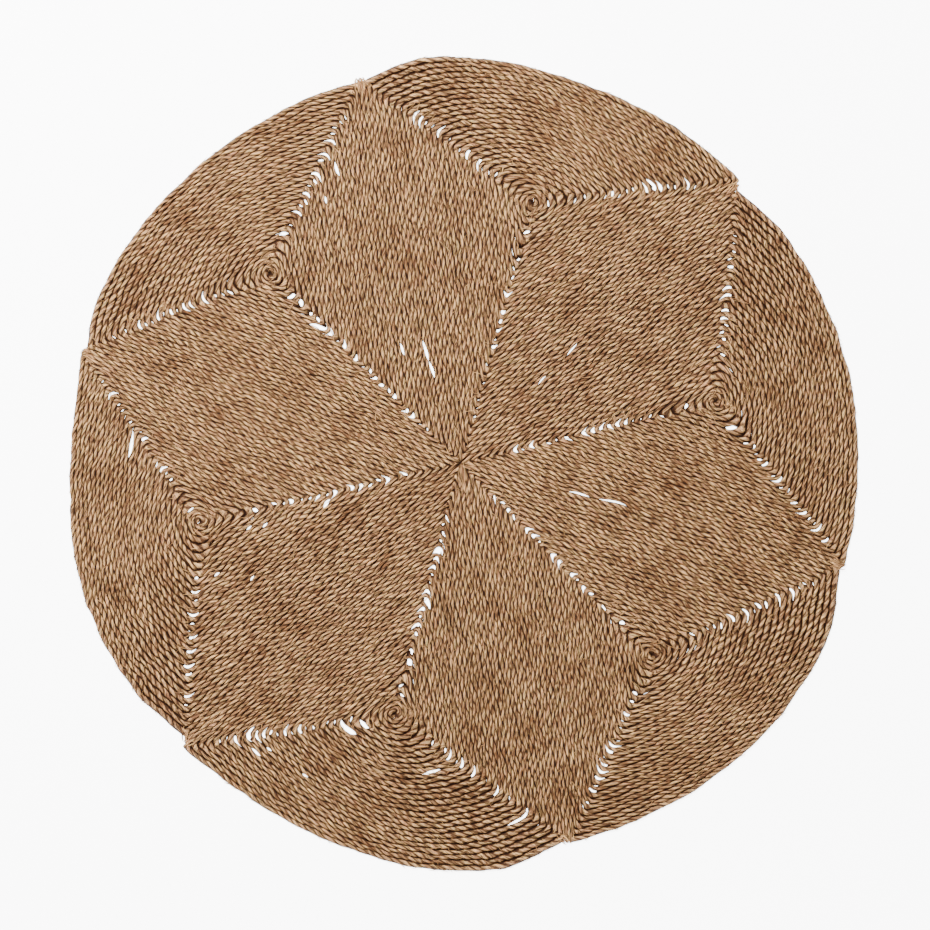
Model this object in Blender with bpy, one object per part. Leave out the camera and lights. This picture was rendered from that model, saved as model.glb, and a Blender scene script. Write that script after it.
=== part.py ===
"""Round rug, about 1.5 m across, lying flat: six wedge panels, each wound from one long twisted straw cord
round its own swirl centre, and sewn edge to edge. Metres, +Z up, underside at z = 0, and the origin under the
middle of the rug's bounding box."""

import math
import random
from collections import namedtuple

import bmesh
import bpy
import numpy
from mathutils import Vector

# The winding of one panel
TURNS = 30
CREST_HEIGHT = 0.0085
GROOVE_HEIGHT = 0.0055
EDGE_HEIGHT = 0.0042
UNDERCUT_TURNS = 0.2
SEAM_GAP = 0.0003

# How the turns round their corners: loosely near the swirl, then in folds of a steady size
ROUND_TURNS = 3
FOLDED_TURNS = 9
CIRCLE_TURNS = 7
CENTRE_ARM = 0.015
NOTCH_ARM = 0.018
ARM_LIMIT = 0.48
ARM_FALL = 2.0
ROUNDNESS_FALL = 1.5
CORNER_STEPS = (0.0, 0.5, 1.0)
RIM_STEPS = (0.14, 0.28, 0.42, 0.58, 0.72, 0.86)

# The gaps that show the floor where a turn folds away from the one inside it
LEAST_GAP = 0.0045
CORD_SHARE = 0.95
GAP_REACH = 0.018
WIDEST_REACH = 0.46
LEAST_LOOSE = 0.8
GAP_LEAN = (0.04, 0.12)
CUTTER_BELOW = -0.003
CUTTER_ABOVE = 0.012

STRAW_COLOUR = (0.357, 0.209, 0.117, 1.0)
STRAW_ROUGHNESS = 0.75

Seams = namedtuple("Seams", "start_deg end_deg")
Swirl = namedtuple("Swirl", "angle_deg distance")
Rim = namedtuple("Rim", "at_start quarter middle three_quarters at_end")
Gaps = namedtuple("Gaps", "centre start end")
Panel = namedtuple("Panel", "name seams swirl rim gaps")

# Angles turn from +X towards +Y round the point where the six seams meet. A rim row holds the distances from
# that point to the panel's outer edge. A gaps row holds the grooves, counted outwards from the swirl, that
# open at the corner by the rug's centre, at the rim where the panel starts and at the rim where it ends.
PANELS = (
    Panel(
        "panel_1",
        Seams(-14.9, 45.3),
        Swirl(13.6, 0.4935),
        Rim(0.746, 0.747, 0.749, 0.747, 0.742),
        Gaps(
            centre=(5, 11, 12, 13, 14, 15, 16, 18, 20, 22, 24),
            start=(6, 9, 11, 12, 15, 19, 21, 24, 26),
            end=(9, 10, 12, 13, 15, 16, 19),
        ),
    ),
    Panel(
        "panel_2",
        Seams(45.3, 104.7),
        Swirl(74.4, 0.507),
        Rim(0.746, 0.747, 0.751, 0.762, 0.751),
        Gaps(
            centre=(5, 9, 11, 13, 14, 15, 17),
            start=(4, 12, 17, 19, 23),
            end=(10, 12, 17, 20, 21),
        ),
    ),
    Panel(
        "panel_3",
        Seams(104.7, 163.5),
        Swirl(135.1, 0.505),
        Rim(0.741, 0.742, 0.744, 0.748, 0.747),
        Gaps(
            centre=(5, 6, 8, 10, 12, 14, 16, 17, 18, 19, 20, 22, 23),
            start=(7, 10, 12, 13, 15, 16, 18, 19, 21),
            end=(9, 11, 13, 14, 16, 18, 21),
        ),
    ),
    Panel(
        "panel_4",
        Seams(163.5, 225.5),
        Swirl(192.8, 0.501),
        Rim(0.743, 0.732, 0.746, 0.750, 0.741),
        Gaps(
            centre=(7, 9, 11, 14, 16, 18, 19, 20, 21, 22, 24),
            start=(4, 10, 11, 15, 23),
            end=(8, 10, 13, 16, 18, 20, 21, 24),
        ),
    ),
    Panel(
        "panel_5",
        Seams(225.5, 286.0),
        Swirl(255.4, 0.487),
        Rim(0.746, 0.744, 0.756, 0.766, 0.746),
        Gaps(
            centre=(4, 5, 7, 10, 13, 14, 15, 18, 19, 20, 22, 24),
            start=(6, 14, 16, 18, 19, 20, 23),
            end=(9, 10, 12, 14, 18, 23),
        ),
    ),
    Panel(
        "panel_6",
        Seams(286.0, 345.1),
        Swirl(314.9, 0.509),
        Rim(0.742, 0.751, 0.762, 0.765, 0.750),
        Gaps(
            centre=(6, 8, 10, 11, 13, 15, 16, 19, 20, 22, 23, 24, 25),
            start=(10, 15, 16, 18, 19, 20, 22),
            end=(11, 13, 15, 17, 18, 20, 22),
        ),
    ),
)


def polar(angle_deg, distance):
    """A point at an angle and distance from the point where the seams meet."""
    angle = math.radians(angle_deg)
    return Vector((distance * math.cos(angle), distance * math.sin(angle)))


class Winding:
    """The shape of one panel's turns: its outline shrunk towards the swirl, with folded corners."""

    def __init__(self, panel):
        self.panel = panel
        start, end = panel.seams
        self.swirl = polar(panel.swirl.angle_deg, panel.swirl.distance)
        half_angle = math.radians(end - start) / 2.0
        self.apex = polar((start + end) / 2.0, SEAM_GAP / 2.0 / math.sin(half_angle))
        self.start_rim = polar(start, panel.rim.at_start) + polar(start + 90.0, SEAM_GAP / 2.0)
        self.end_rim = polar(end, panel.rim.at_end) + polar(end - 90.0, SEAM_GAP / 2.0)
        self.rim_curve = numpy.polyfit((0.0, 0.25, 0.5, 0.75, 1.0), panel.rim, 4)
        self.rim_length = math.radians(end - start) * panel.rim.middle
        start_side = math.sin(math.radians(panel.swirl.angle_deg - start)) * panel.swirl.distance
        end_side = math.sin(math.radians(end - panel.swirl.angle_deg)) * panel.swirl.distance
        self.pitch = (start_side + end_side) / 2.0 / TURNS

    def rim_point(self, share):
        """A point of the outer edge, from 0 at the start seam to 1 at the end seam."""
        if share <= 0.0:
            return self.start_rim
        if share >= 1.0:
            return self.end_rim
        start, end = self.panel.seams
        return polar(start + (end - start) * share, float(numpy.polyval(self.rim_curve, share)))

    def arm(self, corner, turn):
        """How far from its sharp corner a turn starts to fold, measured along the turn."""
        steady = CENTRE_ARM if corner == "centre" else NOTCH_ARM
        widest = ARM_LIMIT * self.panel.rim.middle * turn / TURNS
        if turn <= ROUND_TURNS:
            return widest
        looseness = max(0.0, (FOLDED_TURNS - turn) / (FOLDED_TURNS - ROUND_TURNS))
        return min(widest, steady + (widest - steady) * looseness ** ARM_FALL)

    def side_points(self, corner, arm):
        """The two points of the outline at an arm's length from a corner, with the corner between them."""
        share = arm / self.rim_length
        if corner == "centre":
            to_end = self.apex + (self.end_rim - self.apex).normalized() * arm
            to_start = self.apex + (self.start_rim - self.apex).normalized() * arm
            return to_end, self.apex, to_start
        if corner == "start":
            inwards = self.start_rim + (self.apex - self.start_rim).normalized() * arm
            return inwards, self.start_rim, self.rim_point(share)
        inwards = self.end_rim + (self.apex - self.end_rim).normalized() * arm
        return self.rim_point(1.0 - share), self.end_rim, inwards

    def shrink(self, point, turn):
        """Moves a point of the outline to a turn, which is a circle near the swirl."""
        offset = (point - self.swirl) * (turn / TURNS)
        roundness = max(0.0, 1.0 - turn / CIRCLE_TURNS) ** ROUNDNESS_FALL
        radius = offset.length * (1.0 - roundness) + turn * self.pitch * roundness
        return self.swirl + offset.normalized() * radius

    def fold_point(self, corner, turn, step):
        """A point of the fold at a corner: step 0 where it starts, 1 where it ends."""
        before, sharp, after = self.side_points(corner, self.arm(corner, turn) * TURNS / turn)
        point = before * (1.0 - step) ** 2 + sharp * 2.0 * step * (1.0 - step) + after * step ** 2
        return self.shrink(point, turn)

    def ring(self, turn):
        """One closed turn, seen from above and followed anticlockwise."""
        points = [self.fold_point("centre", turn, step) for step in CORNER_STEPS]
        points += [self.fold_point("start", turn, step) for step in CORNER_STEPS]
        share = self.arm("start", turn) * TURNS / turn / self.rim_length
        for step in RIM_STEPS:
            points.append(self.shrink(self.rim_point(share + (1.0 - 2.0 * share) * step), turn))
        points += [self.fold_point("end", turn, step) for step in CORNER_STEPS]
        return points

    def gap_outline(self, corner, groove, looseness, lean):
        """The four corners of the gap that opens where a groove folds, a little to one side of the fold."""
        step = 0.5 + lean
        inner = self.fold_point(corner, groove - 0.5, step)
        outer = self.fold_point(corner, groove + 0.5, step)
        middle = self.fold_point(corner, groove, step)
        depth = max(LEAST_GAP, ((outer - inner).length - CORD_SHARE * self.pitch) * looseness)
        outwards = (outer - inner).normalized() * depth / 2.0
        reach = min(WIDEST_REACH, GAP_REACH * looseness / 2.0 / self.arm(corner, groove))
        before = self.fold_point(corner, groove, 0.5 - reach)
        after = self.fold_point(corner, groove, 0.5 + reach)
        return [middle - outwards, before, middle + outwards, after]


def box_middle(windings):
    """The middle of the whole rug's box, seen from above."""
    rims = [point for winding in windings for point in winding.ring(TURNS)]
    across = [point.x for point in rims]
    along = [point.y for point in rims]
    return Vector(((min(across) + max(across)) / 2.0, (min(along) + max(along)) / 2.0))


def edge_loop(mesh, points, height, shift):
    """Adds a closed loop of edges at one height and returns them."""
    corners = [mesh.verts.new((point.x - shift.x, point.y - shift.y, height)) for point in points]
    return [mesh.edges.new((corners[i - 1], corners[i])) for i in range(len(corners))]


def cap(mesh, loop):
    """Closes a loop with one face."""
    return bmesh.ops.contextual_create(mesh, geom=loop)


def panel_mesh(winding, shift):
    """The panel without its gaps: crests and grooves, a rounded edge and a flat underside."""
    levels = [(0.5, CREST_HEIGHT)]
    for turn in range(1, TURNS):
        levels += [(turn, GROOVE_HEIGHT), (turn + 0.5, CREST_HEIGHT)]
    levels += [(TURNS, EDGE_HEIGHT), (TURNS - UNDERCUT_TURNS, 0.0)]
    mesh = bmesh.new()
    loops = [edge_loop(mesh, winding.ring(turn), height, shift) for turn, height in levels]
    for inner, outer in zip(loops, loops[1:]):
        bmesh.ops.bridge_loops(mesh, edges=inner + outer)
    cap(mesh, loops[0])
    cap(mesh, loops[-1])
    bmesh.ops.recalc_face_normals(mesh, faces=mesh.faces)
    data = bpy.data.meshes.new(winding.panel.name)
    mesh.to_mesh(data)
    mesh.free()
    return data


def gap_cutter(winding, shift, seed):
    """One mesh that holds a prism for every gap of a panel."""
    chance = random.Random(seed)
    mesh = bmesh.new()
    for corner, grooves in winding.panel.gaps._asdict().items():
        for groove in grooves:
            looseness = chance.uniform(LEAST_LOOSE, 1.0)
            lean = chance.choice((-1.0, 1.0)) * chance.uniform(*GAP_LEAN)
            outline = winding.gap_outline(corner, groove, looseness, lean)
            loop = [mesh.verts.new((point.x - shift.x, point.y - shift.y, CUTTER_BELOW)) for point in outline]
            base = mesh.faces.new(loop)
            raised = bmesh.ops.extrude_face_region(mesh, geom=[base])["geom"]
            tops = [item for item in raised if isinstance(item, bmesh.types.BMVert)]
            bmesh.ops.translate(mesh, verts=tops, vec=(0.0, 0.0, CUTTER_ABOVE - CUTTER_BELOW))
    bmesh.ops.recalc_face_normals(mesh, faces=mesh.faces)
    data = bpy.data.meshes.new(winding.panel.name + "_gaps")
    mesh.to_mesh(data)
    mesh.free()
    return data


def straw_material(name):
    """Dry seagrass straw: light brown and dull."""
    material = bpy.data.materials.new(name)
    material.use_nodes = True
    shader = material.node_tree.nodes["Principled BSDF"]
    shader.inputs["Base Color"].default_value = STRAW_COLOUR
    shader.inputs["Roughness"].default_value = STRAW_ROUGHNESS
    shader.inputs["Metallic"].default_value = 0.0
    return material


def make_panel(winding, shift, seed, parts, cutters):
    """Places one panel and cuts its gaps."""
    panel = bpy.data.objects.new(winding.panel.name, panel_mesh(winding, shift))
    panel.data.materials.append(straw_material(winding.panel.name + "_straw"))
    parts.objects.link(panel)
    cutter = bpy.data.objects.new(winding.panel.name + "_gaps", gap_cutter(winding, shift, seed))
    cutter.hide_render = True
    cutter.display_type = "WIRE"
    cutters.objects.link(cutter)
    cut = panel.modifiers.new("gaps", "BOOLEAN")
    cut.operation = "DIFFERENCE"
    cut.solver = "EXACT"
    cut.object = cutter


def main():
    for item in list(bpy.data.objects):
        bpy.data.objects.remove(item)
    parts = bpy.data.collections.new("round_rug")
    cutters = bpy.data.collections.new("cutters")
    bpy.context.scene.collection.children.link(parts)
    bpy.context.scene.collection.children.link(cutters)
    windings = [Winding(panel) for panel in PANELS]
    shift = box_middle(windings)
    for seed, winding in enumerate(windings):
        make_panel(winding, shift, seed, parts, cutters)


main()
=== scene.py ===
# %% [markdown]
# # A round rug wound from straw cord
#
# The rug is about a metre and a half across. Six flat panels lie side by side like slices of a cake,
# and each one is a single two-ply cord wound thirty times round a point near its middle, then sewn.
# The frame gives each panel as a plain ridged solid. Here every panel gets its real twisted cord.

# %% The frame
import cmath
import math

import bmesh
import bpy
import numpy
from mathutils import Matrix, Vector


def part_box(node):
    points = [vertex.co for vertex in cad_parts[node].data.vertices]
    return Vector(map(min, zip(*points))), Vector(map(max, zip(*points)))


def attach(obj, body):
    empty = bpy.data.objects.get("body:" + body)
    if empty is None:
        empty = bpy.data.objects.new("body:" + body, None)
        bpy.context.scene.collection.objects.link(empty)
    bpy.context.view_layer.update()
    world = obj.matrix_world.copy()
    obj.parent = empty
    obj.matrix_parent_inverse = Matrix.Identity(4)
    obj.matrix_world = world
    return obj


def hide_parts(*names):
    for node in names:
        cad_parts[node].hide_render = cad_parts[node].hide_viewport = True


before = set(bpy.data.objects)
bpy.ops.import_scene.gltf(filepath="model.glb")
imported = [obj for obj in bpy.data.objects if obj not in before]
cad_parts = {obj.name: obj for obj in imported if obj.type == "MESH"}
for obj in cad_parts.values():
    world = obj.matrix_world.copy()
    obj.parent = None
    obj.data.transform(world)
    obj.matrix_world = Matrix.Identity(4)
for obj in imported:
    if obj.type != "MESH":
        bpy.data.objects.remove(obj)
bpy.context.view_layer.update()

# %% [markdown]
# ## The six panels
#
# A winding is known by a few numbers: the two seams beside it, the middle of its swirl, its rim, and the
# grooves where a fold leaves a hole through the rug. They are the numbers that the solids were made from,
# so each cord lies just where its solid is. Angles are in degrees and distances in metres, both from the
# point where the six seams meet. A point on the floor is written as one complex number, x + y j, because
# turning and scaling such a point is a single multiplication.

# %% The panels' numbers
TURNS = 30
SEAMS_MEET = -0.0066 + 0.0027j

PANELS = {
    "panel_1": dict(
        seams=(-14.9, 45.3), swirl=(13.6, 0.4935), rim=(0.746, 0.747, 0.749, 0.747, 0.742),
        centre=(5, 11, 12, 13, 14, 15, 16, 18, 20, 22, 24),
        start=(6, 9, 11, 12, 15, 19, 21, 24, 26), end=(9, 10, 12, 13, 15, 16, 19)),
    "panel_2": dict(
        seams=(45.3, 104.7), swirl=(74.4, 0.507), rim=(0.746, 0.747, 0.751, 0.762, 0.751),
        centre=(5, 9, 11, 13, 14, 15, 17), start=(4, 12, 17, 19, 23), end=(10, 12, 17, 20, 21)),
    "panel_3": dict(
        seams=(104.7, 163.5), swirl=(135.1, 0.505), rim=(0.741, 0.742, 0.744, 0.748, 0.747),
        centre=(5, 6, 8, 10, 12, 14, 16, 17, 18, 19, 20, 22, 23),
        start=(7, 10, 12, 13, 15, 16, 18, 19, 21), end=(9, 11, 13, 14, 16, 18, 21)),
    "panel_4": dict(
        seams=(163.5, 225.5), swirl=(192.8, 0.501), rim=(0.743, 0.732, 0.746, 0.750, 0.741),
        centre=(7, 9, 11, 14, 16, 18, 19, 20, 21, 22, 24),
        start=(4, 10, 11, 15, 23), end=(8, 10, 13, 16, 18, 20, 21, 24)),
    "panel_5": dict(
        seams=(225.5, 286.0), swirl=(255.4, 0.487), rim=(0.746, 0.744, 0.756, 0.766, 0.746),
        centre=(4, 5, 7, 10, 13, 14, 15, 18, 19, 20, 22, 24),
        start=(6, 14, 16, 18, 19, 20, 23), end=(9, 10, 12, 14, 18, 23)),
    "panel_6": dict(
        seams=(286.0, 345.1), swirl=(314.9, 0.509), rim=(0.742, 0.751, 0.762, 0.765, 0.750),
        centre=(6, 8, 10, 11, 13, 15, 16, 19, 20, 22, 23, 24, 25),
        start=(10, 15, 16, 18, 19, 20, 22), end=(11, 13, 15, 17, 18, 20, 22)),
}
for name in PANELS:
    low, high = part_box(name)
    print(name, "solid spans", [round(b - a, 4) for a, b in zip(low, high)])

# %% [markdown]
# ## The line that a cord follows
#
# The outermost turn follows the panel's outline, and every turn inside it is that outline shrunk towards
# the swirl. Near the swirl a stiff cord can't turn sharply, so the first turns are round. Each corner is
# a fold: a curve with a long arm on the outside of the cord and a short one on the inside, as on a bent
# strip, which leaves the small three-sided holes between one fold and the next. On the outermost turns
# the fold is pressed to a crease, so the notches in the rim stay small.

# %% The corner of a fold
CENTRE_ARM = 0.015
NOTCH_ARM = 0.018
TIGHT_TURNS = {"centre": (23.0, 29.5), "start": (24.0, 29.0), "end": (24.0, 29.0)}
CREASED = {"centre": (0.92, 0.4), "start": (0.84, 0.4), "end": (0.84, 0.4)}
ARM_LIMIT = 0.48
LEAST_ARM = 0.0015
ARM_FALL = 2.0
ROUND_TURNS, FOLDED_TURNS, CIRCLE_TURNS = 3.0, 9.0, 7.0
ROUNDNESS_FALL = 1.5


def on_floor(angle_deg, distance):
    return distance * cmath.exp(1j * math.radians(angle_deg))


def eased(values):
    """0 below 0, 1 above 1, and a smooth rise between them."""
    share = numpy.clip(values, 0.0, 1.0)
    return share * share * (3.0 - 2.0 * share)


# %% One panel's winding
class Winding:
    """The three sides of a panel, run clockwise: the rim, the start seam inwards, the end seam outwards."""

    def __init__(self, number, seams, swirl, rim, **open_grooves):
        start, end = seams
        self.sway_phases = numpy.random.default_rng(number).uniform(0.0, math.tau, (TURNS + 1, 3, 3))
        self.start_deg, self.end_deg = start, end
        self.swirl = on_floor(*swirl)
        self.open_grooves = open_grooves
        self.rim_curve = numpy.polyfit((0.0, 0.25, 0.5, 0.75, 1.0), rim, 4)
        self.rim_middle = rim[2]
        self.corners = {"centre": 0j, "start": on_floor(start, rim[0]), "end": on_floor(end, rim[4])}
        self.sides = [("end", "start"), ("start", "centre"), ("centre", "end")]
        self.lengths = [math.radians(end - start) * rim[2], rim[0], rim[4]]
        swirl_deg = swirl[0]
        self.feet = [
            self.lengths[0] * (end - swirl_deg) / (end - start),
            rim[0] - math.cos(math.radians(swirl_deg - start)) * swirl[1],
            math.cos(math.radians(end - swirl_deg)) * swirl[1],
        ]
        start_side = math.sin(math.radians(swirl_deg - start)) * swirl[1]
        end_side = math.sin(math.radians(end - swirl_deg)) * swirl[1]
        self.pitch = (start_side + end_side) / 2.0 / TURNS

    def on_side(self, side, along):
        """The outline's point at a distance along one side, from the side's first corner."""
        first, last = (self.corners[corner] for corner in self.sides[side])
        share = along / self.lengths[side]
        if side > 0:
            return first + (last - first) * share
        degrees = self.end_deg + (self.start_deg - self.end_deg) * share
        return numpy.polyval(self.rim_curve, 1.0 - share) * numpy.exp(1j * numpy.radians(degrees))

    def arm(self, side, at_end, turns, edge):
        """How long a fold's arm is on a side, edge -1 or 1 being the cord's inner or outer edge."""
        corner = self.sides[side][1 if at_end else 0]
        steady = CENTRE_ARM if corner == "centre" else NOTCH_ARM
        widest = ARM_LIMIT * self.rim_middle * turns / TURNS
        looseness = numpy.clip((FOLDED_TURNS - turns) / (FOLDED_TURNS - ROUND_TURNS), 0.0, 1.0)
        arm = numpy.minimum(widest, steady + (widest - steady) * looseness ** ARM_FALL)
        step = (self.lengths[side] - self.feet[side] if at_end else self.feet[side]) / TURNS
        arm = arm + edge * step / 2.0
        limit = ARM_LIMIT * self.rim_middle * (turns + edge / 2.0) / TURNS
        return numpy.clip(arm, numpy.minimum(LEAST_ARM, limit), numpy.maximum(limit, 1e-4))

    def shrunk(self, points, turns):
        offset = (points - self.swirl) * turns / TURNS
        roundness = numpy.clip(1.0 - turns / CIRCLE_TURNS, 0.0, 1.0) ** ROUNDNESS_FALL
        radius = abs(offset) * (1.0 - roundness) + turns * self.pitch * roundness
        return self.swirl + offset / abs(offset) * radius


windings = {name: Winding(number, **PANELS[name]) for number, name in enumerate(PANELS)}
for name, winding in windings.items():
    print(name, "cord pitch", round(winding.pitch * 1000, 2), "mm")

# %% [markdown]
# ## From turn to turn
#
# A cord wound outwards has to step out by its own width once in every turn. Here it does so on the rim
# side: quickly on the outer turns, near the notch where the cord ends, and over a longer and longer
# stretch further in, until the turns at the swirl are a plain spiral. The groove between two turns also
# strays a little from its line, because the rug was wound by hand.

# %% Which turn the cord is on
STEP_SHARE_OUTSIDE = 0.17
STEP_SHARE_GROWS = 0.75
SPIRAL_TURNS = (3.0, 9.0)
LEAST_TURN = 0.05
GROOVE_SWAY = 0.12
GROOVE_WAVES = (0.11, 0.06, 0.037)
RIM_GROOVE_SHARE = 0.4
SWAY_FADES = 8.0


def middle_turn(winding, turn, side, place):
    """The turn that the middle of the cord is on, at a place from 0 to 1 along one side."""
    step_share = STEP_SHARE_OUTSIDE + STEP_SHARE_GROWS * (1.0 - turn / TURNS)
    steady = float(eased((turn - SPIRAL_TURNS[0]) / (SPIRAL_TURNS[1] - SPIRAL_TURNS[0])))
    progress = (sum(winding.lengths[:side]) + place * winding.lengths[side]) / sum(winding.lengths)
    stepped = eased(place / step_share) if side == 0 else 1.0
    return turn - 0.5 + steady * stepped + (1.0 - steady) * progress


def groove_sway(winding, groove, side, place):
    """How far, in turns, the groove between two cords strays as a hand-wound one does."""
    if groove < 2 or groove >= TURNS - (0 if side == 0 else 1):
        return 0.0
    metres = place * winding.lengths[side] * groove / TURNS
    phases = winding.sway_phases[groove, side]
    waves = sum(numpy.sin(metres * math.tau / length + phase) for length, phase in zip(GROOVE_WAVES, phases))
    size = GROOVE_SWAY * (RIM_GROOVE_SHARE if groove == TURNS - 1 else 1.0)
    return size * waves / math.sqrt(len(GROOVE_WAVES)) * eased(place * (1.0 - place) * SWAY_FADES)


def edge_turn(winding, turn, edge, side, place):
    """The turn an edge is on: half way to the next cord outwards (edge 1) or inwards (edge -1)."""
    here = middle_turn(winding, turn, side, place)
    beside = middle_turn(winding, turn + edge, side, place)
    sway = groove_sway(winding, turn + min(edge, 0), side, place)
    return numpy.maximum((here + beside) / 2.0 + sway, LEAST_TURN)


print("middle of the tenth turn, from the end notch:",
      [round(float(middle_turn(windings["panel_1"], 10, 0, share)), 2) for share in (0.0, 0.25, 0.5, 1.0)])

# %% One edge of a straight run, and of a fold
def straight_end(winding, turn, side, at_end, edge):
    """Where a straight run meets its fold: how far along the side, and which turn the edge is on."""
    place = 1.0 if at_end else 0.0
    for _ in range(3):
        border = edge_turn(winding, turn, edge, side, place)
        arm = winding.arm(side, at_end, middle_turn(winding, turn, side, place), edge)
        reach = arm * TURNS / border
        along = winding.lengths[side] - reach if at_end else reach
        place = along / winding.lengths[side]
    return along, border


def straight_edge(winding, turn, side, share, edge):
    first, _ = straight_end(winding, turn, side, False, edge)
    last, _ = straight_end(winding, turn, side, True, edge)
    along = first + (last - first) * share
    border = edge_turn(winding, turn, edge, side, along / winding.lengths[side])
    return winding.shrunk(winding.on_side(side, along), border)


def fold_edge(winding, turn, side, share, edge):
    """The fold at a side's last corner. After the third side comes the next turn's first."""
    after_side = (side + 1) % 3
    after_turn = turn + 1 if after_side == 0 else turn
    before_along, before_border = straight_end(winding, turn, side, True, edge)
    after_along, after_border = straight_end(winding, after_turn, after_side, False, edge)
    before = winding.on_side(side, before_along)
    after = winding.on_side(after_side, after_along)
    corner = winding.sides[side][1]
    sharp = winding.corners[corner]
    curve = before * (1.0 - share) ** 2 + sharp * 2.0 * share * (1.0 - share) + after * share ** 2
    crease = numpy.where(share < 0.5, before + (sharp - before) * share * 2.0,
                         sharp + (after - sharp) * (share * 2.0 - 1.0))
    tight_from, tight_to = TIGHT_TURNS[corner]
    tight = float(eased((turn - tight_from) / (tight_to - tight_from)))
    curve = curve + (crease - curve) * tight * CREASED[corner][0 if edge > 0 else 1]
    return winding.shrunk(curve, before_border + (after_border - before_border) * share)


arm = windings["panel_1"].arm(1, True, 20.0, 0.0)
print("a fold near the middle of the rug has an arm of", round(float(arm) * 1000, 1), "mm")

# %% How a fold is closed
CENTRE_FOOT = 1.5
HORN_OVER = 0.30
ROUND_HORNS = (0.0, 0.25)
FOLDED_HORNS = (0.15, 1.0)
GAP_LEAN = 0.5
SMALL_GAP_TURNS = (5, 25)
SMALL_GAP_SHARE = 0.6
SMALL_GAP_OPENING = (0.35, 0.75)
SMALL_GAP_SPAN = 0.5
gap_dice = numpy.random.default_rng(5)


def fold_feet(winding, turn, side, share, outer):
    """Where the outer foot reaches in a fold, and how closed the fold is there, from 0 to 1."""
    if turn + 1 == TURNS:
        middle = CENTRE_FOOT - CENTRE_FOOT * abs(2.0 * share - 1.0)
        at_centre = eased(middle) if side == 1 else 0.0 * share
        return outer * (1.0 - at_centre), numpy.ones_like(share)
    next_inner = fold_edge(winding, turn + 1, side, share, -1)
    closed = numpy.ones_like(share)
    lean = gap_dice.uniform(-GAP_LEAN, GAP_LEAN)
    if turn + 1 in winding.open_grooves[winding.sides[side][1]]:
        horn_from = gap_dice.uniform(*(ROUND_HORNS if turn < FOLDED_TURNS else FOLDED_HORNS))
        closed = eased((abs(2.0 * share - 1.0 - lean) - horn_from) / HORN_OVER)
    elif SMALL_GAP_TURNS[0] < turn < SMALL_GAP_TURNS[1] and gap_dice.uniform() < SMALL_GAP_SHARE:
        opening = gap_dice.uniform(*SMALL_GAP_OPENING)
        closed = 1.0 - opening * (1.0 - eased(abs(2.0 * share - 1.0 - lean) / SMALL_GAP_SPAN))
    return outer + (next_inner - outer) * closed, closed


open_folds = sum(len(turns) for winding in windings.values() for turns in winding.open_grooves.values())
print("folds left open:", open_folds)

# %% Sample one cord's two edges
FOLD_SAMPLES = 40
SIDE_SAMPLES = (260, 200, 200)
LAST_CUT = 25


def cord_edges(winding):
    """Matching points on a cord's inner and outer edge, and where its foot reaches on either side.

    The foot fills a closed fold as far as the next cord, and the horns of an open one. In the first turn
    it reaches inwards to the middle of the swirl, and in the last to the middle of the rug. The last few
    samples are left off, because the cord ends inside the notch."""
    inner, outer, inner_foot, outer_foot, closed = [], [], [], [], []
    for turn in range(1, TURNS):
        for side in range(3):
            share = numpy.arange(SIDE_SAMPLES[side]) / SIDE_SAMPLES[side]
            inner.append(straight_edge(winding, turn, side, share, -1))
            outer.append(straight_edge(winding, turn, side, share, 1))
            outer_foot.append(outer[-1])
            closed.append(numpy.ones_like(share))
            share = numpy.arange(FOLD_SAMPLES) / FOLD_SAMPLES
            inner.append(fold_edge(winding, turn, side, share, -1))
            outer.append(fold_edge(winding, turn, side, share, 1))
            foot, closing = fold_feet(winding, turn, side, share, outer[-1])
            outer_foot.append(foot)
            closed.append(closing)
        first = turn == 1
        inner_foot += [numpy.full_like(row, winding.swirl) if first else row for row in inner[-6:]]
    return [numpy.concatenate(rows)[:-LAST_CUT] for rows in (inner, outer, inner_foot, outer_foot, closed)]


print("samples on one whole turn:", sum(SIDE_SAMPLES) + 3 * FOLD_SAMPLES)

# %% [markdown]
# ## Slits
#
# Here and there the sewing has let two neighbouring turns part, and the floor shows as a short bright
# slit. A slit is made by pulling the outer edge of one cord in and the inner edge of the next one out. At
# a seam the panel has no next cord, so only its last cord gives way. Each row holds the slit's middle on
# the floor, its length and its width.

# %% Open the slits
SLITS = (
    (-0.2412, 0.5537, 0.028, 0.0050), (-0.0713, 0.2159, 0.042, 0.0052), (-0.1145, 0.2168, 0.026, 0.0042),
    (0.2018, 0.2159, 0.034, 0.0064), (-0.0648, 0.1774, 0.032, 0.0048), (0.1436, 0.1595, 0.028, 0.0060),
    (-0.6279, 0.0347, 0.044, 0.0062), (0.2177, -0.0554, 0.050, 0.0066), (0.2778, -0.0713, 0.060, 0.0070),
    (-0.3876, -0.5368, 0.024, 0.0044), (-0.0610, -0.5734, 0.038, 0.0058), (0.1004, -0.6710, 0.042, 0.0050),
    (-0.2590, 0.4964, 0.014, 0.0036), (-0.3735, -0.1136, 0.012, 0.0036), (-0.4017, -0.1192, 0.012, 0.0034),
    (-0.4674, -0.2036, 0.014, 0.0036), (-0.3923, -0.2149, 0.012, 0.0034), (-0.2121, -0.5077, 0.014, 0.0036),
    (-0.3660, -0.5377, 0.012, 0.0034), (-0.2966, -0.5828, 0.014, 0.0036), (-0.2140, -0.4908, 0.042, 0.0080),
    (-0.2740, 0.2618, 0.036, 0.0076), (-0.3960, -0.5077, 0.034, 0.0070), (0.3491, 0.5246, 0.028, 0.0070),
    (0.3735, 0.5171, 0.024, 0.0060), (-0.0469, -0.1586, 0.022, 0.0070), (-0.1014, -0.3594, 0.026, 0.0068),
    (-0.2590, -0.0723, 0.022, 0.0062), (-0.0751, -0.2656, 0.024, 0.0062), (-0.0901, -0.3050, 0.024, 0.0062),
)
SLIT_WINDOW = 60
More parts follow.
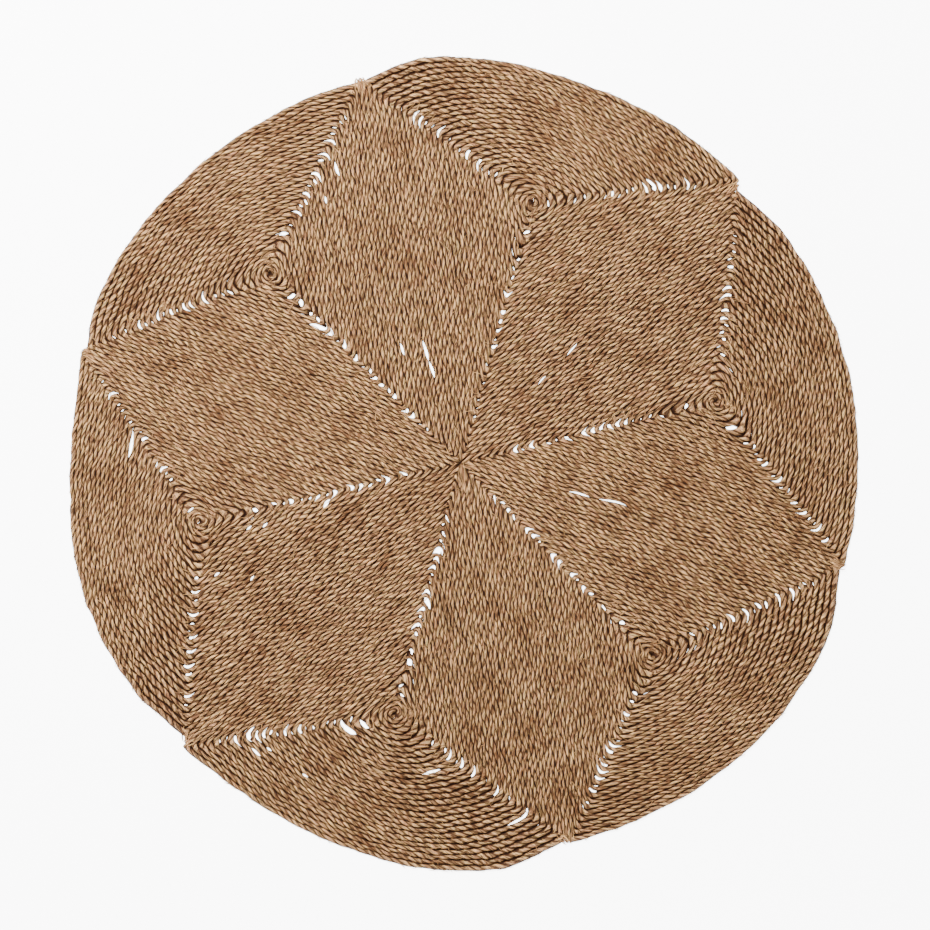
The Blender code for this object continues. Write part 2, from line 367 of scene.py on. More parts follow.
SLIT_EDGE = 3.0


def part_neighbours(winding, inner, outer, inner_foot, outer_foot, closed):
    opened = 0
    for x, y, length, width in SLITS:
        place = complex(x, y) - SEAMS_MEET
        bearing = (math.degrees(cmath.phase(place)) - winding.start_deg) % 360.0 + winding.start_deg
        if bearing > winding.end_deg:
            continue
        opened += 1
        outwards = (outer - inner) / abs(outer - inner)
        groove = outer[abs(outer - place).argmin()]
        for border, foot, side in ((outer, outer_foot, -0.5), (inner, inner_foot, 0.5)):
            nearest = int(abs(border - groove).argmin())
            if abs(border[nearest] - groove) > winding.pitch / 2.0:
                continue
            span = slice(max(nearest - SLIT_WINDOW, 0), nearest + SLIT_WINDOW)
            push = numpy.clip(1.0 - (abs(border[span] - groove) / (length / 2.0)) ** 2, 0.0, 1.0)
            shift = outwards[span] * push * width * side
            border[span] += shift
            foot[span] += shift
            closed[span] = numpy.minimum(closed[span], 1.0 - eased(push * SLIT_EDGE))
    return opened


edges = {name: cord_edges(winding) for name, winding in windings.items()}
for name, rows in edges.items():
    print(name, "has", part_neighbours(windings[name], *rows), "slits")
    middle = (rows[0] + rows[1]) / 2.0
    print(name, "cord length", round(float(abs(numpy.diff(middle)).sum()), 2), "m")

# %% [markdown]
# ## The cord itself
#
# Two plies are laid together, and the pair makes one full twist in about 38 mm. Seen from above, every
# ply shows as a row of short grains that slant like the middle of a Z, and dark slots open between
# neighbours wherever both are turned on edge. A cord's cross-section is like a peanut, with eight points,
# and it turns as it goes along. Its lower half is spread wider, because the cord has settled on the floor
# and the sewing holds each turn hard against the next: that closes the slots without filling their tops.
#
# A regular pattern looks machine-made, so the whole rug is also pushed about by slow waves that all the
# cords share, and each cord has its own small changes of width, height and twist.

# %% Slow waves and wandering values
dice = numpy.random.default_rng(7)
SHARED_WAVES = ((0.19, 0.0009), (0.11, 0.0008), (0.07, 0.0008), (0.045, 0.0006), (0.028, 0.0004))
WAVES_A_LENGTH = 3


def shared_waves(points):
    """The slow push that the whole rug shares, for points given as complex numbers."""
    waves = numpy.random.default_rng(11)
    push = numpy.zeros_like(points)
    for length, size in SHARED_WAVES:
        for repeat in range(WAVES_A_LENGTH):
            heading = cmath.exp(1j * waves.uniform(0.0, math.tau))
            direction = cmath.exp(1j * waves.uniform(0.0, math.tau))
            phase = waves.uniform(0.0, math.tau)
            travel = (points * heading.conjugate()).real * math.tau / length + phase
            push = push + direction * size * numpy.sin(travel) / math.sqrt(WAVES_A_LENGTH)
    return push


def wandering(distance, wavelength):
    """A value between about -1 and 1 that wanders slowly along a cord."""
    knots = dice.uniform(-1.0, 1.0, int(distance[-1] / wavelength) + 3)
    place = distance / wavelength
    left = place.astype(int)
    return knots[left] + (knots[left + 1] - knots[left]) * eased(place - left)


push = abs(shared_waves(numpy.array((0j,))))[0]
print("the shared waves push the middle of the rug by", round(float(push) * 1000, 2), "mm")

# %% Rings evenly spaced along the cord
RING_STEP = 0.00372
CLOSER_IN_BENDS = 1.1
SHARP_BEND = 0.006


def evenly_spaced(inner, outer, inner_foot, outer_foot, closed, step):
    middle = (inner + outer) / 2.0
    lengths = abs(numpy.diff(middle))
    heading = numpy.unwrap(numpy.angle(numpy.diff(middle)))
    bend = abs(numpy.diff(heading, append=heading[-1])) / numpy.maximum(lengths, 1e-5)
    closeness = 1.0 + CLOSER_IN_BENDS * numpy.clip(bend * SHARP_BEND, 0.0, 1.0)
    paced = numpy.concatenate(([0.0], numpy.cumsum(lengths * closeness)))
    true = numpy.concatenate(([0.0], numpy.cumsum(lengths)))
    count = int(paced[-1] / step)
    wanted = numpy.linspace(0.0, paced[-1], count)
    rows = [numpy.interp(wanted, paced, row.real) + 1j * numpy.interp(wanted, paced, row.imag)
            for row in (inner, outer, inner_foot, outer_foot)]
    return rows + [numpy.interp(wanted, paced, closed), numpy.interp(wanted, paced, true)]


print("a ring every", RING_STEP * 1000, "mm on the straight")

# %% The cord's section and its twist
SECTION_POINTS = 8
SECTION = (1.0, 0.80, 0.40, 0.80, 1.0, 0.80, 0.40, 0.80)
SQUEEZED_SIDE = 0.80
CORD_CENTRE = 0.0041
CORD_HALF_HEIGHT = 0.0041
LEAD = 0.038
CLEARANCE = 0.00012
SPARE_SPACE_FILLED = 0.35
FOOT_REACH_OUT, FOOT_REACH_IN = 0.0008, 0.0001
FOOT_HEIGHT = 0.0007
FOOT_DEPTH = 0.10
FOOT_FLATTENS = 0.35
BULGE = 0.6
LIFT_OFF_FLOOR = 0.0006
END_TAPER, END_SHARE = 0.014, 0.7
START_TAPER, START_SHARE = 0.012, 0.45
PLY_VARIES, PLY_WAVE = 0.17, 0.045
WIDTH_WANDERS = (0.09, 0.03)
HEIGHT_WANDERS = (0.07, 0.06)
CENTRE_WANDERS = (0.0005, 0.09)
TWIST_WANDERS = (0.009, 0.08)
TWIST_DRIFTS = (0.020, 0.40)
SIDE_WANDERS = (0.0005, 0.04)


def strayed(distance, size_and_wave):
    """A wandering value of a given size and wavelength."""
    size, wave = size_and_wave
    return size * wandering(distance, wave)


def cord_rings(winding, name_edges):
    """Corner positions of every ring, as floor points, heights and the distance along the cord."""
    inner, outer, inner_foot, outer_foot, closed, distance = evenly_spaced(*name_edges, RING_STEP)
    half_space = abs(outer - inner) / 2.0
    middle = (inner + outer) / 2.0
    outwards = (outer - inner) / (2.0 * half_space)
    snug = winding.pitch / 2.0
    loose = snug + SPARE_SPACE_FILLED * (half_space - snug)
    half_width = numpy.where(half_space > snug, loose, half_space)
    half_width = half_width * (1.0 + strayed(distance, WIDTH_WANDERS)) - CLEARANCE
    half_height = CORD_HALF_HEIGHT * (1.0 + strayed(distance, HEIGHT_WANDERS))
    centre_height = CORD_CENTRE + strayed(distance, CENTRE_WANDERS)
    left = distance[-1] - distance
    end_taper = END_SHARE + (1.0 - END_SHARE) * eased(left / END_TAPER)
    taper = end_taper * (START_SHARE + (1.0 - START_SHARE) * eased(distance / START_TAPER))
    half_width = half_width * taper
    half_height = half_height * taper
    centre_height = numpy.minimum(centre_height, half_height + LIFT_OFF_FLOOR)
    loose_twist = strayed(distance, TWIST_WANDERS) + strayed(distance, TWIST_DRIFTS)
    twist = (distance + loose_twist) / LEAD * math.tau
    around = numpy.arange(SECTION_POINTS) / SECTION_POINTS * math.tau
    first_ply = (numpy.cos(around) + 1.0) / 2.0
    fullness = numpy.outer(wandering(distance, PLY_WAVE), first_ply)
    fullness = fullness + numpy.outer(wandering(distance, PLY_WAVE), 1.0 - first_ply)
    angle = around[None, :] + twist[:, None]
    lobe = numpy.array(SECTION)[None, :] * (1.0 + PLY_VARIES * fullness)
    lobe = lobe + numpy.maximum(SQUEEZED_SIDE - lobe, 0.0) * numpy.cos(angle) ** 2
    across = lobe * numpy.cos(angle)
    upward = lobe * numpy.sin(angle)
    low = numpy.clip(-upward / FOOT_DEPTH, 0.0, 1.0)
    spread = numpy.clip(across * 4.0, -1.0, 1.0)
    reach = numpy.where(across > 0.0, FOOT_REACH_OUT * closed[:, None], FOOT_REACH_IN)
    foot_width = (half_space * end_taper)[:, None] + reach
    sway = strayed(distance, SIDE_WANDERS)
    sideways = (across * half_width[:, None] + sway[:, None]) * (1.0 - low) + spread * foot_width * low
    floor_points = middle[:, None] + outwards[:, None] * sideways
    filling = low + BULGE * (1.0 - low) * closed[:, None]
    floor_points = floor_points + (outer_foot - outer)[:, None] * filling * numpy.clip(spread, 0.0, 1.0)
    floor_points = floor_points + (inner_foot - inner)[:, None] * low * numpy.clip(-spread, 0.0, 1.0)
    heights = centre_height[:, None] + upward * half_height[:, None]
    foot_heights = FOOT_HEIGHT * (1.0 + numpy.clip(upward, -1.0, 0.0))
    heights = numpy.maximum(heights + (foot_heights - heights) * low * FOOT_FLATTENS, 0.0)
    floor_points = floor_points + shared_waves(floor_points) + SEAMS_MEET
    # how high each point sits in its cord; the straw finish paints shade where it is low
    shade = heights / (centre_height + half_height)[:, None]
    return floor_points, heights, distance, shade, around


print("one full twist in", LEAD * 1000, "mm, with", SECTION_POINTS, "points round the cord")


# %% Faces and the bake map
def in_triangles(corners):
    """Each four-cornered face as two triangles, split the way that lies closer to the twisted plies."""
    return corners[..., [0, 1, 3, 1, 2, 3], :]


def face_grid(rings, points):
    """The corners of every face between one ring and the next."""
    ring = numpy.arange(rings - 1)[:, None] * points
    here = numpy.arange(points)[None, :]
    beside = (here + 1) % points
    four = numpy.stack((ring + here, ring + beside, ring + points + beside, ring + points + here), axis=-1)
    return in_triangles(four[..., None]).ravel()


BAKE_ROWS = 37
ROW_MARGIN = 0.04
CAP_MIDDLE = (0.985, 0.9865)
CAP_RADIUS = 0.006
CAPS_APART = 0.02


def bake_corners(rings, points):
    """A place on the bake map for every face corner: the cord cut into rows, one row under the next."""
    per_row = math.ceil((rings - 1) / BAKE_ROWS) + 1
    ring = numpy.arange(rings - 1)
    row = ring // per_row
    left = (ring % per_row) / per_row
    right = left + 1.0 / per_row
    column = numpy.arange(points)
    used = 1 - 2 * ROW_MARGIN
    low = (row[:, None] + ROW_MARGIN + used * column[None, :] / points) / BAKE_ROWS
    high = (row[:, None] + ROW_MARGIN + used * (column[None, :] + 1) / points) / BAKE_ROWS
    left, right = numpy.broadcast_to(left[:, None], low.shape), numpy.broadcast_to(right[:, None], low.shape)
    corners = numpy.stack((left, low, left, high, right, high, right, low), axis=-1)
    return in_triangles(corners.reshape(-1, 4, 2)).reshape(-1, 2)


def cap_corners(points):
    """A small round place on the bake map for each of the cord's two ends."""
    turn = numpy.arange(points) / points * math.tau
    across = CAP_MIDDLE[0] + CAP_RADIUS * numpy.cos(turn)
    cap = numpy.stack((across, CAP_MIDDLE[1] + CAP_RADIUS * numpy.sin(turn)), axis=-1)
    return cap, cap[::-1] - numpy.array((CAPS_APART, 0.0))


print("the bake map has", BAKE_ROWS, "rows a cord")

# %% Wind the six cords
NEXT_CORD_ALONG = 41.0


def mesh_of(name, places, corners, starts):
    """A mesh from point places, the corners of its faces in a row, and where each face starts."""
    mesh = bpy.data.meshes.new(name)
    mesh.vertices.add(len(places))
    mesh.vertices.foreach_set("co", places.astype(numpy.float32).ravel())
    mesh.loops.add(len(corners))
    mesh.loops.foreach_set("vertex_index", corners.astype(numpy.int32))
    mesh.polygons.add(len(starts))
    mesh.polygons.foreach_set("loop_start", starts.astype(numpy.int32))
    mesh.update(calc_edges=True)
    mesh.validate()
    return mesh


def point_values(mesh, name, values):
    layer = mesh.attributes.new(name, "FLOAT", "POINT")
    layer.data.foreach_set("value", values.astype(numpy.float32).ravel())


def in_the_scene(name, mesh):
    mesh.shade_smooth()
    piece = bpy.data.objects.new(name, mesh)
    bpy.context.scene.collection.objects.link(piece)
    return piece


def twisted_cord(name, number):
    winding = windings[name]
    floor_points, heights, distance, shade, around = cord_rings(winding, edges[name])
    rings, points = floor_points.shape
    places = numpy.stack((floor_points.real, floor_points.imag, heights), axis=-1).reshape(-1, 3)
    faces = face_grid(rings, points)
    first_cap = numpy.arange(points)
    last_cap = (rings - 1) * points + numpy.arange(points)[::-1]
    corners = numpy.concatenate((faces, first_cap, last_cap))
    starts = numpy.concatenate((numpy.arange(0, len(faces), 3), [len(faces), len(faces) + points]))
    mesh = mesh_of(name + "_cord", places, corners, starts)
    bake_map = mesh.uv_layers.new(name="OFBake")
    flat = numpy.concatenate((bake_corners(rings, points), *cap_corners(points)))
    bake_map.data.foreach_set("uv", flat.astype(numpy.float32).ravel())
    rows = numpy.ones((rings, points))
    point_values(mesh, "along", (distance[:, None] + NEXT_CORD_ALONG * number) * rows)
    point_values(mesh, "ply", numpy.cos(around)[None, :] * rows)
    point_values(mesh, "ply_turn", numpy.sin(around)[None, :] * rows)
    # the relative height, which the straw finish turns into painted shade low down
    point_values(mesh, "height", shade)
    return in_the_scene(name + "_cord", mesh)


cords = {name: twisted_cord(name, number) for number, name in enumerate(PANELS)}
for name, piece in cords.items():
    check = bmesh.new()
    check.from_mesh(piece.data)
    surface = sum(face.calc_area() for face in check.faces)
    volume = check.calc_volume(signed=True)
    check.free()
    print(piece.name, len(piece.data.polygons), "triangles, surface", round(surface, 3),
          "m2, volume", round(volume * 1e6), "cm3")

# %% [markdown]
# ## Sums with sockets
#
# A material is a sum over the surface. Nodes can be wired one by one, but a long sum is easier to read as
# one, so a small class stands for a node's output and turns +, -, * and ** into Math nodes. Everything
# else, such as a noise or a mix of two colours, comes from one method that takes a node's type, its
# settings and what goes into its sockets.

# %% A socket that can be summed
class Value:
    def __init__(self, finish, socket):
        self.finish = finish
        self.socket = socket

    def math(self, operation, first, second):
        return self.finish.node("ShaderNodeMath", {"operation": operation}, {0: first, 1: second})

    def __add__(self, other):
        return self.math("ADD", self, other)

    def __radd__(self, other):
        return self.math("ADD", other, self)

    def __sub__(self, other):
        return self.math("SUBTRACT", self, other)

    def __rsub__(self, other):
        return self.math("SUBTRACT", other, self)

    def __mul__(self, other):
        return self.math("MULTIPLY", self, other)

    def __rmul__(self, other):
        return self.math("MULTIPLY", other, self)

    def __pow__(self, other):
        return self.math("POWER", self, other)

    def within(self, low, high):
        """0 at low and below, 1 at high and above, and a smooth rise between them."""
        settings = {"interpolation_type": "SMOOTHSTEP"}
        return self.finish.node("ShaderNodeMapRange", settings, {0: self, 1: low, 2: high, 3: 0.0, 4: 1.0})


print("a socket can be summed")


# %% A material and its nodes
class Finish:
    def __init__(self, name):
        self.material = bpy.data.materials.new(name)
        self.material.use_nodes = True
        self.tree = self.material.node_tree
        self.shader = next(node for node in self.tree.nodes if node.type == "BSDF_PRINCIPLED")

    def node(self, kind, settings, values, output=0):
        node = self.tree.nodes.new(kind)
        for setting, value in settings.items():
            setattr(node, setting, value)
        for socket, value in values.items():
            self.feed(node.inputs[socket], value)
        return Value(self, node.outputs[output])

    def feed(self, socket, value):
        if isinstance(value, Value):
            self.tree.links.new(value.socket, socket)
        else:
            socket.default_value = value

    def attribute(self, name):
        return self.node("ShaderNodeAttribute", {"attribute_name": name}, {}, "Fac")

    def combine(self, x, y, z):
        return self.node("ShaderNodeCombineXYZ", {}, {0: x, 1: y, 2: z})

    def noise(self, vector, scale, detail, roughness):
        values = {"Vector": vector, "Scale": scale, "Detail": detail, "Roughness": roughness}
        return self.node("ShaderNodeTexNoise", {}, values)

    def mix(self, factor, first, second):
        return self.node("ShaderNodeMix", {"data_type": "RGBA"}, {0: factor, 6: first, 7: second}, 2)


print("a finish can be mixed")

# %% [markdown]
# ## Straw
#
# Each ply is a bundle of dry stems. A stem is a thin streak along the ply, so the streaks are a noise
# stretched along the cord: its distance along the cord is scaled far less than its place across the ply.
# The stems differ in colour, from pale straw through tan to pinkish and greenish ones, and some grains,
# lengths and patches are browner. The dips between plies and the low parts of each cord, down between the
# turns, get painted shade, and a short dark dash lies along a ply here and there.

# %% The straw finish
STRAW_TAN = (0.60, 0.33, 0.165, 1.0)
STRAW_PALE = (1.0, 0.58, 0.215, 1.0)
STRAW_PINK = (0.66, 0.28, 0.15, 1.0)
STRAW_GREEN = (0.47, 0.35, 0.14, 1.0)
STRAW_BROWN = (0.24, 0.104, 0.040, 1.0)
# the darkest straw, used both for dark stem lines and dashes and for painted shade
STRAW_DARK_AND_SHADE = (0.022, 0.005, 0.0002, 1.0)


def straw_finish():
    finish = Finish("straw_cord")
    along = finish.attribute("along")
    ply = finish.attribute("ply")
    ply_turn = finish.attribute("ply_turn")
    height = finish.attribute("height")
    place = finish.node("ShaderNodeTexCoord", {}, {}, "Object")
    which_ply = (ply * 6.0).within(-1.0, 1.0) * 9.0

    def streaks(changes_a_metre, offset, changes_across, detail, roughness):
        """A noise that is stretched along the cord and runs round each ply."""
        travel = along * changes_a_metre + offset
        spot = finish.combine(travel, ply * changes_across, ply_turn * changes_across)
        return finish.noise(spot, 1.0, detail, roughness)

    stems = streaks(95.0, 0.0, 2.4, 3.0, 0.65)
    tone = streaks(34.0, 70.0, 1.4, 2.0, 0.6)
    grain = finish.noise(finish.combine(along * 46.0, which_ply, 4.0), 1.0, 1.0, 0.5)
    length = finish.noise(finish.combine(along * 2.6, which_ply * 0.1, 9.0), 1.0, 2.0, 0.6)
    patch = finish.noise(place, 12.0, 3.0, 0.6)
    hue = streaks(17.0, 300.0, 1.6, 2.0, 0.6)
    colour = finish.mix(hue.within(0.52, 0.66), STRAW_TAN, STRAW_PINK)
    colour = finish.mix((1.0 - hue).within(0.52, 0.66), colour, STRAW_GREEN)
    colour = finish.mix((tone.within(0.42, 0.66) * 0.75) * grain.within(0.30, 0.60), colour, STRAW_PALE)
    colour = finish.mix(stems.within(0.52, 0.65) * 0.85, colour, STRAW_PALE)
    brown = (1.0 - grain).within(0.44, 0.68) * 0.58 + (1.0 - length).within(0.48, 0.66) * 0.3
    colour = finish.mix(brown + (1.0 - patch).within(0.42, 0.70) * 0.42, colour, STRAW_BROWN)
    streak = (1.0 - stems).within(0.46, 0.60) * 0.66
    # painted shade: the dip between the two plies is painted darker
    painted_ply_shade = (1.0 - ply * ply) ** 2.6 * (0.80 + tone.within(0.35, 0.60) * 0.18)
    dash = (1.0 - streaks(65.0, 500.0, 1.5, 1.0, 0.5)).within(0.55, 0.63) * 0.8
    # painted shade: the lower a point sits in its cord, the darker it is painted, so the slots and folds
    # between the turns look shadowed
    painted_low_shade = (1.12 - height - stems * 0.42).within(0.06, 0.52) * 0.985
    # what stays clear of dark lines, dashes and painted shade; the rest is mixed towards the darkest straw
    light = (1.0 - streak) * (1.0 - painted_ply_shade) * (1.0 - painted_low_shade) * (1.0 - dash)
    colour = finish.mix(1.0 - light, colour, STRAW_DARK_AND_SHADE)
    finish.feed(finish.shader.inputs["Base Color"], colour)
    finish.feed(finish.shader.inputs["Roughness"], 0.60 + stems * 0.25)
    finish.shader.inputs["Specular IOR Level"].default_value = 0.18
    relief = stems + streaks(260.0, 0.0, 9.0, 2.0, 0.6) * 0.3
    bump = finish.node("ShaderNodeBump", {}, {"Height": relief, "Strength": 0.9, "Distance": 0.0020})
    finish.feed(finish.shader.inputs["Normal"], bump)
    return finish.material


straw = straw_finish()
for name, piece in cords.items():
    piece.data.materials.append(straw)
    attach(piece, "root")
    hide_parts(name)
print("straw on", len(cords), "cords")

# %% [markdown]
# ## Sewing and loose stems
#
# Short stitches of straw thread tie each turn to the next, and here and there a stem has sprung out of the
# cord, most often at a fold. Frayed stems fill the notch where a cord stops, and the end of one cord lies
# over the point where the seams meet. All are strands: thin three-sided tubes, slimmer and lower at their
# ends, and many of them are joined in one mesh.

# %% One strand
STRAND_RINGS = 5
STRAND_SIDES = (90.0, 210.0, 330.0)
SLIM_END = 0.45
LEAST_HEIGHT = 0.0002
strand_dice = numpy.random.default_rng(23)


def strand(start, end, thickness, top, sag, bow):
    """The points of one strand, from one floor point to another, arched up to a height at its middle."""
    share = numpy.linspace(0.0, 1.0, STRAND_RINGS)
    arch = 4.0 * share * (1.0 - share)
    route = start + (end - start) * share + 1j * (end - start) * bow * arch
    route = route + shared_waves(route) + SEAMS_MEET
    heading = numpy.gradient(route)
    across = 1j * heading / abs(heading)
    height = top - sag * (1.0 - arch)
    slim = thickness * (SLIM_END + (1.0 - SLIM_END) * arch) / 2.0
    rings = []
    for turn in STRAND_SIDES:
        sideways = math.cos(math.radians(turn)) * slim
        upward = math.sin(math.radians(turn)) * slim
        spot = route + across * sideways
        lifted = numpy.maximum(height + upward, LEAST_HEIGHT)
        rings.append(numpy.stack((spot.real, spot.imag, lifted), axis=-1))
    return numpy.stack(rings, axis=1)


print("one strand has", STRAND_RINGS * len(STRAND_SIDES), "points")


# %% A mesh of strands
def strands_on(name, number, strands):
    """One mesh of many strands, with the same values at its points as the cord has."""
    count = len(strands)
    points = STRAND_RINGS * len(STRAND_SIDES)
    places = numpy.concatenate([one.reshape(-1, 3) for one in strands])
    grid = face_grid(STRAND_RINGS, len(STRAND_SIDES)).reshape(-1, 3)
    caps = numpy.array(((0, 1, 2), (points - 1, points - 2, points - 3)))
    faces = numpy.concatenate((grid, caps))
    first = numpy.arange(count) * points
    corners = (first[:, None, None] + faces[None]).reshape(-1)
    mesh = mesh_of(name, places, corners, numpy.arange(0, len(corners), 3))
    own = strand_dice.uniform(0.0, 40.0, count)[:, None] + numpy.arange(STRAND_RINGS)[None, :] * 0.004
    side = numpy.array((1.0, 0.0, -1.0))[None, None, :] * numpy.ones((count, STRAND_RINGS, 1))
    point_values(mesh, "along", (own + NEXT_CORD_ALONG * number)[:, :, None] * numpy.ones(3))
    # the strands get plies near their middle and a high height, so little painted shade falls on them
    point_values(mesh, "ply", 0.9 + 0.1 * side)
    point_values(mesh, "ply_turn", 0.4 * side)
    point_values(mesh, "height", numpy.full(side.shape, 0.95))
    mesh.materials.append(straw)
    piece = in_the_scene(name, mesh)
    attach(piece, "root")
    return piece


print("one strand has", 2 * (STRAND_RINGS - 1) * len(STRAND_SIDES) + 2, "triangles")

# %% Stitches
STITCH_GAP = 0.16
STITCH_TURN = (15.0, 50.0)
STITCH_HALF = (0.0035, 0.0055)
STITCH_THICKNESS, STITCH_TOP, STITCH_SAG = 0.0011, 0.0074, 0.0022


def stitches(winding, rows):
    """A stitch over the groove outside the cord, one at uneven steps along it."""
    inner, outer = rows[0], rows[1]
    travelled = numpy.concatenate(([0.0], numpy.cumsum(abs(numpy.diff((inner + outer) / 2.0)))))
    made = []
    spot = 0.3
    while spot < travelled[-1] - 0.1:
        here = int(numpy.searchsorted(travelled, spot))
        outwards = (outer[here] - inner[here]) / abs(outer[here] - inner[here])
        lean = cmath.exp(1j * math.radians(strand_dice.uniform(*STITCH_TURN)))
        half = outwards * lean * strand_dice.uniform(*STITCH_HALF)
        start, end = outer[here] - half, outer[here] + half
        made.append(strand(start, end, STITCH_THICKNESS, STITCH_TOP, STITCH_SAG, 0.0))
        spot += STITCH_GAP * strand_dice.uniform(0.5, 1.5)
    return made


print("a stitch about every", STITCH_GAP, "m of cord")

# %% Loose stems
STEMS_A_PANEL = 250
STEMS_ON_THE_RIM = 50
FIRST_SAMPLE, LAST_SAMPLE = 400, 20
STEM_EVERY_FOLD = 3
STEM_TURN = (-12.0, 22.0)
STEM_LENGTH = (0.010, 0.034)
STEM_OFFSET = (-0.003, 0.003)
STEM_THICKNESS = (0.0009, 0.0024)
STEM_TOP, STEM_SAG, STEM_BOW = (0.0078, 0.0092), 0.0028, 0.06
RIM_LENGTH = (0.008, 0.022)
RIM_STANDS_OUT = (0.0005, 0.0035)
RIM_THICKNESS = (0.0005, 0.0012)
RIM_TOP, RIM_SAG, RIM_ROOT = 0.0045, 0.0010, 0.002


def sprung_stems(winding, rows):
    """Stems that lie loosely over the cords, and finer ones that stand out from the rim."""
    middle = (rows[0] + rows[1]) / 2.0
    last = len(middle) - LAST_SAMPLE
    open_places = numpy.flatnonzero(rows[4] < 0.9)
    folds = open_places[(open_places > FIRST_SAMPLE) & (open_places < last)]
    made = []
    for index in range(STEMS_A_PANEL):
        here = int(strand_dice.integers(FIRST_SAMPLE, last))
        if index % STEM_EVERY_FOLD == 0:
            here = int(strand_dice.choice(folds))
        heading = middle[here + 3] - middle[here - 3]
        heading = heading / abs(heading) * cmath.exp(1j * math.radians(strand_dice.normal(*STEM_TURN)))
        length = strand_dice.uniform(*STEM_LENGTH)
        offset = 1j * heading * strand_dice.uniform(*STEM_OFFSET)
        start = middle[here] + offset
        end = start + heading * length
        thickness = strand_dice.uniform(*STEM_THICKNESS)
        top = strand_dice.uniform(*STEM_TOP)
        made.append(strand(start, end, thickness, top, STEM_SAG, strand_dice.normal(0.0, STEM_BOW)))
    after_the_rim = sum(SIDE_SAMPLES[1:]) + 3 * FOLD_SAMPLES - LAST_CUT
    edge = rows[1][-SIDE_SAMPLES[0] - after_the_rim:-after_the_rim]
    for index in range(STEMS_ON_THE_RIM):
        here = int(strand_dice.integers(5, len(edge) - 5))
        heading = (edge[here + 1] - edge[here - 1]) * strand_dice.choice((-1.0, 1.0))
        heading = heading / abs(heading)
        outwards = edge[here] / abs(edge[here])
        length = strand_dice.uniform(*RIM_LENGTH)
        end = edge[here] + heading * length + outwards * strand_dice.uniform(*RIM_STANDS_OUT)
        start = edge[here] - outwards * RIM_ROOT
        made.append(strand(start, end, strand_dice.uniform(*RIM_THICKNESS), RIM_TOP, RIM_SAG, 0.0))
    return made


print(STEMS_A_PANEL, "loose stems a panel, and", STEMS_ON_THE_RIM, "more on its rim")

# %% Frayed ends, and the stems over the middle
FRAYS = 26
FRAY_TURN = (12.0, 20.0)
FRAY_ROOT = (0.002, 0.009)
FRAY_SPREAD, FRAY_BOW = 0.0042, 0.05
FRAY_LENGTH = (0.012, 0.030)
FRAY_THICKNESS = (0.0016, 0.0038)
FRAY_TOP, FRAY_SAG = (0.0040, 0.0080), 0.35
OVER_START, OVER_END = complex(-0.0056, 0.0020), complex(0.0006, -0.0460)
OVER_THICKNESS, OVER_TOP, OVER_SAG = 0.0036, 0.0090, 0.0040


def frayed_end(winding):
    """Stem ends that fray out of the notch where the cord stops, over the joint of the two panels."""
    corner = winding.corners["end"]
    inwards = -corner / abs(corner)
    made = []
    for index in range(FRAYS):
        heading = inwards * cmath.exp(1j * math.radians(strand_dice.normal(*FRAY_TURN)))
        root = corner + inwards * strand_dice.uniform(*FRAY_ROOT)
        start = root + 1j * inwards * strand_dice.normal(0.0, FRAY_SPREAD)
        end = start + heading * strand_dice.uniform(*FRAY_LENGTH)
        thickness = strand_dice.uniform(*FRAY_THICKNESS)
        top = strand_dice.uniform(*FRAY_TOP)
        made.append(strand(start, end, thickness, top, top * FRAY_SAG, strand_dice.normal(0.0, FRAY_BOW)))
    return made


def over_the_centre():
    """The stems of a cord's end that lie over the point where the seams meet."""
    made = []
    for sideways in (-0.0030, -0.0012, 0.0004, 0.0016, 0.0032):
        start = OVER_START + sideways * complex(1.0, 1.0) - SEAMS_MEET
        end = OVER_END + sideways * complex(-0.6, 2.0) - SEAMS_MEET
        made.append(strand(start, end, OVER_THICKNESS, OVER_TOP, OVER_SAG, sideways * 30.0))
    return made


print(FRAYS, "frayed stems a notch, and", len(over_the_centre()), "over the middle")

# %% Put the strands on the panels
extras = {name: [] for name in PANELS}
for number, name in enumerate(PANELS):
    winding = windings[name]
    made = stitches(winding, edges[name])
    extras[name].append(strands_on(name + "_stitches", number, made))
    stems = sprung_stems(winding, edges[name]) + frayed_end(winding)
    stems = stems + (over_the_centre() if name == "panel_5" else [])
    extras[name].append(strands_on(name + "_loose_stems", number, stems))
    print(name, "has", len(made), "stitches and", len(stems), "loose stems")

# %% [markdown]
# ## Each panel's flat area
#
# A rug is a sheet that lies flat. For each panel the flat area of its outline is worked out, which is less
# than its length times its width because the panel is a slice of a disc, and the outline is turned so that
# its middle points along x.

for name, piece in cords.items():
    winding = windings[name]
    shares = numpy.linspace(0.0, winding.lengths[0], 200)
    rim = winding.on_side(0, shares)
    outline = numpy.concatenate((rim, [0j]))
    area = abs((outline.conjugate() * numpy.roll(outline, -1)).imag.sum()) / 2.0
    turned = outline * on_floor(-(winding.start_deg + winding.end_deg) / 2.0, 1.0)

# %% [markdown]
# ## Floor, light and camera
#
# The rug was photographed from straight above on a white ground, in soft light. A plain pale floor, a
# broad lamp overhead and an even pale surrounding give that. The lens is long, as such a picture's is,
# and it is aimed at the middle of the picture, which is 930 pixels square.

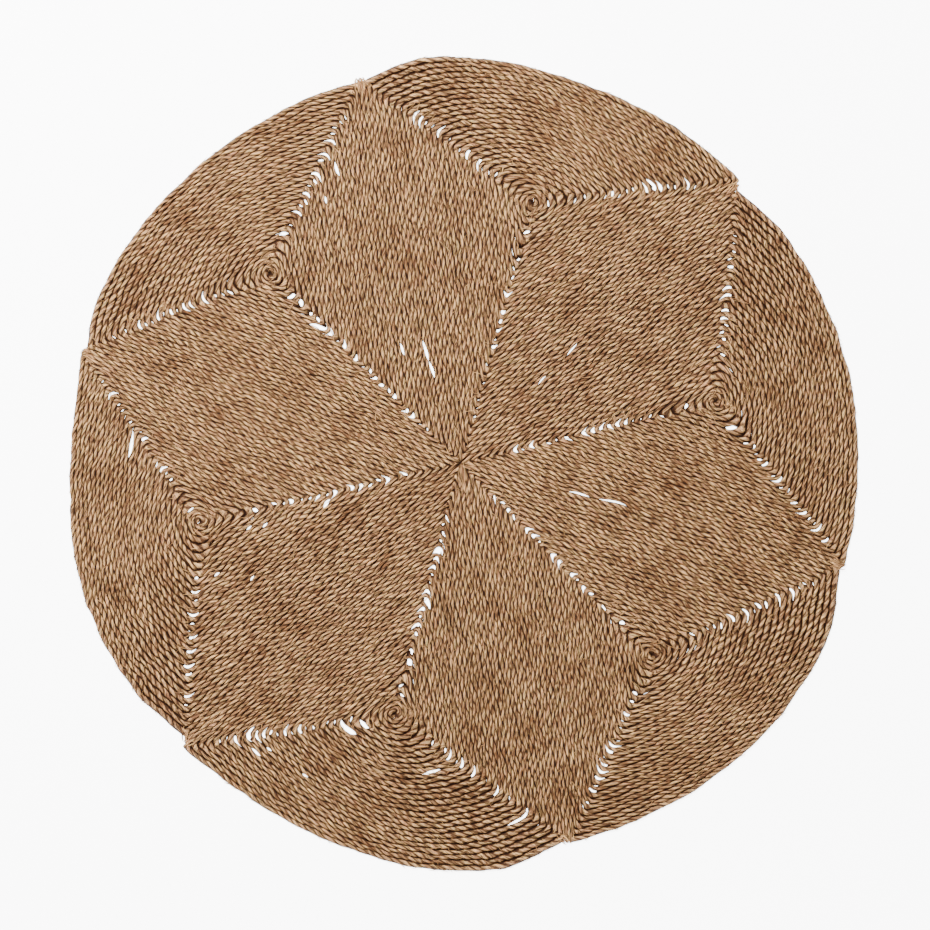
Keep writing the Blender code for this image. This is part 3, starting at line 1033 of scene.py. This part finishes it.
# %% Floor
FLOOR_SIZE = 40.0
FLOOR_HEIGHT = -0.0003
FLOOR_GLOW = 7.0
bpy.ops.object.select_all(action="DESELECT")
bpy.ops.mesh.primitive_plane_add(size=FLOOR_SIZE, location=(0.0, 0.0, FLOOR_HEIGHT))
floor = bpy.context.object
floor.name = "floor"
bpy.ops.object.transform_apply(location=True, rotation=True, scale=True)
floor_finish = Finish("pale_floor")
floor_finish.shader.inputs["Base Color"].default_value = (0.95, 0.95, 0.95, 1.0)
floor_finish.shader.inputs["Emission Color"].default_value = (1.0, 1.0, 1.0, 1.0)
floor_finish.shader.inputs["Emission Strength"].default_value = FLOOR_GLOW
floor_finish.shader.inputs["Roughness"].default_value = 0.9
floor.data.materials.append(floor_finish.material)
print("the floor is", FLOOR_SIZE, "m wide, so its edge stays out of low views")

# %% Light
world = bpy.data.worlds.new("pale_surroundings")
world.use_nodes = True
background = world.node_tree.nodes["Background"]
background.inputs["Color"].default_value = (1.0, 1.0, 1.0, 1.0)
background.inputs["Strength"].default_value = 0.36
bpy.context.scene.world = world


def add_lamp(name, place, size, power):
    """A round lamp that is aimed at the middle of the rug."""
    bpy.ops.object.light_add(type="AREA", location=place)
    lamp = bpy.context.object
    lamp.name = name
    lamp.data.shape = "DISK"
    lamp.data.size = size
    lamp.data.energy = power
    lamp.rotation_euler = (-Vector(place)).to_track_quat("-Z", "Y").to_euler()
    print(name, size, "m across,", power, "W")


add_lamp("broad_lamp", (-1.6, 2.0, 3.6), 1.0, 660.0)
add_lamp("fill_lamp", (1.8, -1.2, 3.8), 2.4, 50.0)

# %% Camera
METRES_PER_PIXEL = 0.001877
PICTURE_PIXELS = 930
CAMERA_HEIGHT = 6.0
SENSOR = 36.0
CORD_TOP = 0.006
RUG_MIDDLE_PIXEL = (464.0, 464.5)
PICTURE_MIDDLE_PIXEL = (465.0, 465.0)
picture_width = METRES_PER_PIXEL * PICTURE_PIXELS
aim = (METRES_PER_PIXEL * (PICTURE_MIDDLE_PIXEL[0] - RUG_MIDDLE_PIXEL[0]),
       METRES_PER_PIXEL * (RUG_MIDDLE_PIXEL[1] - PICTURE_MIDDLE_PIXEL[1]))
bpy.ops.object.camera_add(location=(aim[0], aim[1], CAMERA_HEIGHT), rotation=(0.0, 0.0, 0.0))
camera = bpy.context.object
camera.data.sensor_width = SENSOR
camera.data.sensor_fit = "HORIZONTAL"
camera.data.lens = SENSOR * (CAMERA_HEIGHT - CORD_TOP) / picture_width
camera.data.clip_end = 50.0
bpy.context.scene.camera = camera
print("lens", round(camera.data.lens, 1), "mm")
